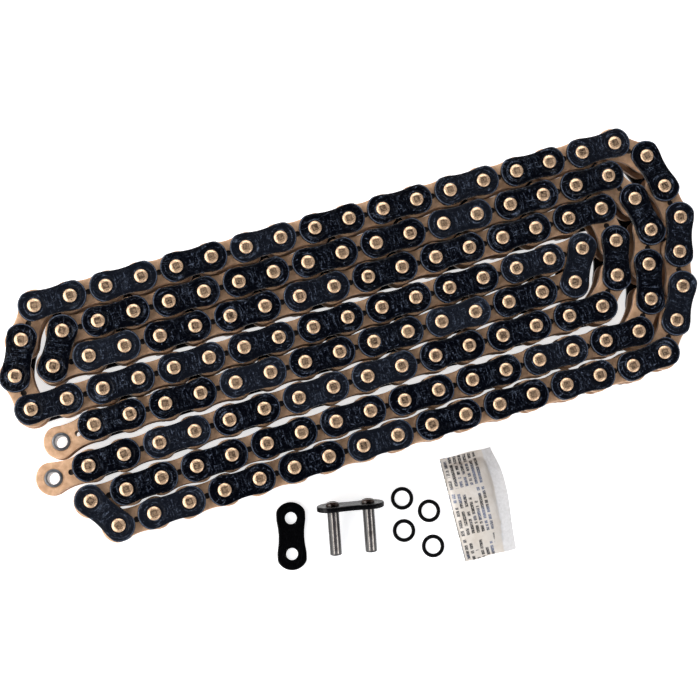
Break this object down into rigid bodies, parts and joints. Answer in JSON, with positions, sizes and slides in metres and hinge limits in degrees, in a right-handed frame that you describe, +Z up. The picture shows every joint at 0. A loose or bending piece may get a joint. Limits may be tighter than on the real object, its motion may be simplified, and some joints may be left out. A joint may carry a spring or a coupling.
{
  "type": "motorcycle drive chain",
  "caption": "Sealed roller drive chain folded flat in parallel rows, with black outer plates, gold inner plates and a loose connecting link, seals and grease sachet.",
  "frame": {"origin": "on the floor under the middle of the laid-out set, so z = 0 is the plane that the rivet heads and loose parts rest on", "axes": "+X along the folded rows towards the end with most of the turns, +Y from the loose parts towards the chain, +Z up along the pins"},
  "size_m": [0.3197, 0.1723, 0.0217],
  "materials": {
    "black_plate": "black, oiled, glossy",
    "gold_plate": "satin gold",
    "gold_pin": "satin gold, riveted ends",
    "steel_bush": "ground steel",
    "steel_roller": "dark heat-treated steel, oiled",
    "seal_rubber": "satin black",
    "bright_pin": "polished steel",
    "sachet_film": "cream and clear plastic film"
  },
  "bodies": {
    "lower_rows": {"lower_rows_outer_plates": "black_plate", "lower_rows_inner_plates": "gold_plate", "lower_rows_pins": "gold_pin", "lower_rows_bushes": "steel_bush", "lower_rows_rollers": "steel_roller", "lower_rows_seals": "seal_rubber"},
    "outer_turn": {"outer_turn_outer_plates": "black_plate", "outer_turn_inner_plates": "gold_plate", "outer_turn_pins": "gold_pin", "outer_turn_bushes": "steel_bush", "outer_turn_rollers": "steel_roller", "outer_turn_seals": "seal_rubber"},
    "upper_rows": {"upper_rows_outer_plates": "black_plate", "upper_rows_inner_plates": "gold_plate", "upper_rows_pins": "gold_pin", "upper_rows_bushes": "steel_bush", "upper_rows_rollers": "steel_roller", "upper_rows_seals": "seal_rubber"},
    "inner_turn": {"inner_turn_outer_plates": "black_plate", "inner_turn_inner_plates": "gold_plate", "inner_turn_pins": "gold_pin", "inner_turn_bushes": "steel_bush", "inner_turn_rollers": "steel_roller", "inner_turn_seals": "seal_rubber"},
    "middle_rows": {"middle_rows_outer_plates": "black_plate", "middle_rows_inner_plates": "gold_plate", "middle_rows_pins": "gold_pin", "middle_rows_bushes": "steel_bush", "middle_rows_rollers": "steel_roller", "middle_rows_seals": "seal_rubber"},
    "short_turn_a": {"short_turn_a_outer_plates": "black_plate", "short_turn_a_pins": "gold_pin"},
    "end_row_a": {"end_row_a_outer_plates": "black_plate", "end_row_a_inner_plates": "gold_plate", "end_row_a_pins": "gold_pin", "end_row_a_bushes": "steel_bush", "end_row_a_rollers": "steel_roller", "end_row_a_seals": "seal_rubber"},
    "short_turn_b": {"short_turn_b_outer_plates": "black_plate", "short_turn_b_pins": "gold_pin"},
    "end_row_b": {"end_row_b_outer_plates": "black_plate", "end_row_b_inner_plates": "gold_plate", "end_row_b_pins": "gold_pin", "end_row_b_bushes": "steel_bush", "end_row_b_rollers": "steel_roller", "end_row_b_seals": "seal_rubber"},
    "end_link_a": {"end_link_a_inner_plates": "gold_plate", "end_link_a_bushes": "steel_bush", "end_link_a_rollers": "steel_roller"},
    "end_link_b": {"end_link_b_inner_plates": "gold_plate", "end_link_b_bushes": "steel_bush", "end_link_b_rollers": "steel_roller"},
    "end_roller_a": {"end_roller_a": "steel_roller"},
    "end_roller_b": {"end_roller_b": "steel_roller"},
    "loose_plate": {"loose_plate": "black_plate"},
    "pin_link": {"pin_link_plate": "black_plate", "pin_link_pins": "bright_pin"},
    "loose_seals": {"loose_seals": "seal_rubber"},
    "grease_sachet": {"grease_sachet": "sachet_film"}
  },
  "joints": [
    {"name": "unfold", "type": "hinge", "parent": "lower_rows", "child": "outer_turn", "pos_m": [0.1258, -0.02147, 0.01087], "axis": [0, 0, -1], "range_deg": [0, 7.5]},
    {"name": "upper_rows_bend", "type": "hinge", "parent": "outer_turn", "child": "upper_rows", "pos_m": [0.134, 0.076, 0.01087], "axis": [0, 0, -1], "range_deg": [0, 7.6]},
    {"name": "inner_turn_bend", "type": "hinge", "parent": "lower_rows", "child": "inner_turn", "pos_m": [0.12749, 0.00334, 0.01087], "axis": [0, 0, -1], "range_deg": [0, 7.2]},
    {"name": "middle_rows_bend", "type": "hinge", "parent": "inner_turn", "child": "middle_rows", "pos_m": [0.13493, 0.04905, 0.01087], "axis": [0, 0, -1], "range_deg": [0, 7.9]},
    {"name": "short_turn_a_bend", "type": "hinge", "parent": "upper_rows", "child": "short_turn_a", "pos_m": [0.10437, 0.03421, 0.01087], "axis": [0, 0, 1], "range_deg": [0, 2.6]},
    {"name": "end_row_a_bend", "type": "hinge", "parent": "short_turn_a", "child": "end_row_a", "pos_m": [0.09638, 0.0205, 0.01087], "axis": [0, 0, 1], "range_deg": [0, 2.6]},
    {"name": "short_turn_b_bend", "type": "hinge", "parent": "middle_rows", "child": "short_turn_b", "pos_m": [0.12044, 0.03324, 0.01087], "axis": [0, 0, 1], "range_deg": [0, 5.1]},
    {"name": "end_row_b_bend", "type": "hinge", "parent": "short_turn_b", "child": "end_row_b", "pos_m": [0.11592, 0.01802, 0.01087], "axis": [0, 0, 1], "range_deg": [0, 5.1]},
    {"name": "end_link_a_swing", "type": "hinge", "parent": "end_row_a", "child": "end_link_a", "pos_m": [-0.12587, 0.02151, 0.01087], "axis": [0, 0, -1], "range_deg": [0, 12]},
    {"name": "end_link_b_swing", "type": "hinge", "parent": "end_row_b", "child": "end_link_b", "pos_m": [-0.1331, 0.00517, 0.01087], "axis": [0, 0, 1], "range_deg": [0, 10]},
    {"name": "end_roller_a_spin", "type": "hinge", "parent": "end_link_a", "child": "end_roller_a", "pos_m": [-0.14151, 0.01875, 0.01087], "axis": [0, 0, 1], "continuous": true},
    {"name": "end_roller_b_spin", "type": "hinge", "parent": "end_link_b", "child": "end_roller_b", "pos_m": [-0.14897, 0.00462, 0.01087], "axis": [0, 0, 1], "continuous": true},
    {"name": "lift_loose_plate", "type": "slide", "parent": "lower_rows", "child": "loose_plate", "axis": [0, 0, 1], "range_m": [0, 0.1]},
    {"name": "lift_pin_link", "type": "slide", "parent": "lower_rows", "child": "pin_link", "axis": [0, 0, 1], "range_m": [0, 0.1]},
    {"name": "lift_loose_seals", "type": "slide", "parent": "lower_rows", "child": "loose_seals", "axis": [0, 0, 1], "range_m": [0, 0.1]},
    {"name": "lift_grease_sachet", "type": "slide", "parent": "lower_rows", "child": "grease_sachet", "axis": [0, 0, 1], "range_m": [0, 0.1]}
  ],
  "couplings": [
    {"joint": "upper_rows_bend", "follows": "unfold", "ratio": 1},
    {"joint": "inner_turn_bend", "follows": "unfold", "ratio": 0.954},
    {"joint": "middle_rows_bend", "follows": "unfold", "ratio": 1.046},
    {"joint": "short_turn_a_bend", "follows": "unfold", "ratio": 0.3333},
    {"joint": "end_row_a_bend", "follows": "unfold", "ratio": 0.3333},
    {"joint": "short_turn_b_bend", "follows": "unfold", "ratio": 0.6667},
    {"joint": "end_row_b_bend", "follows": "unfold", "ratio": 0.6667}
  ]
}
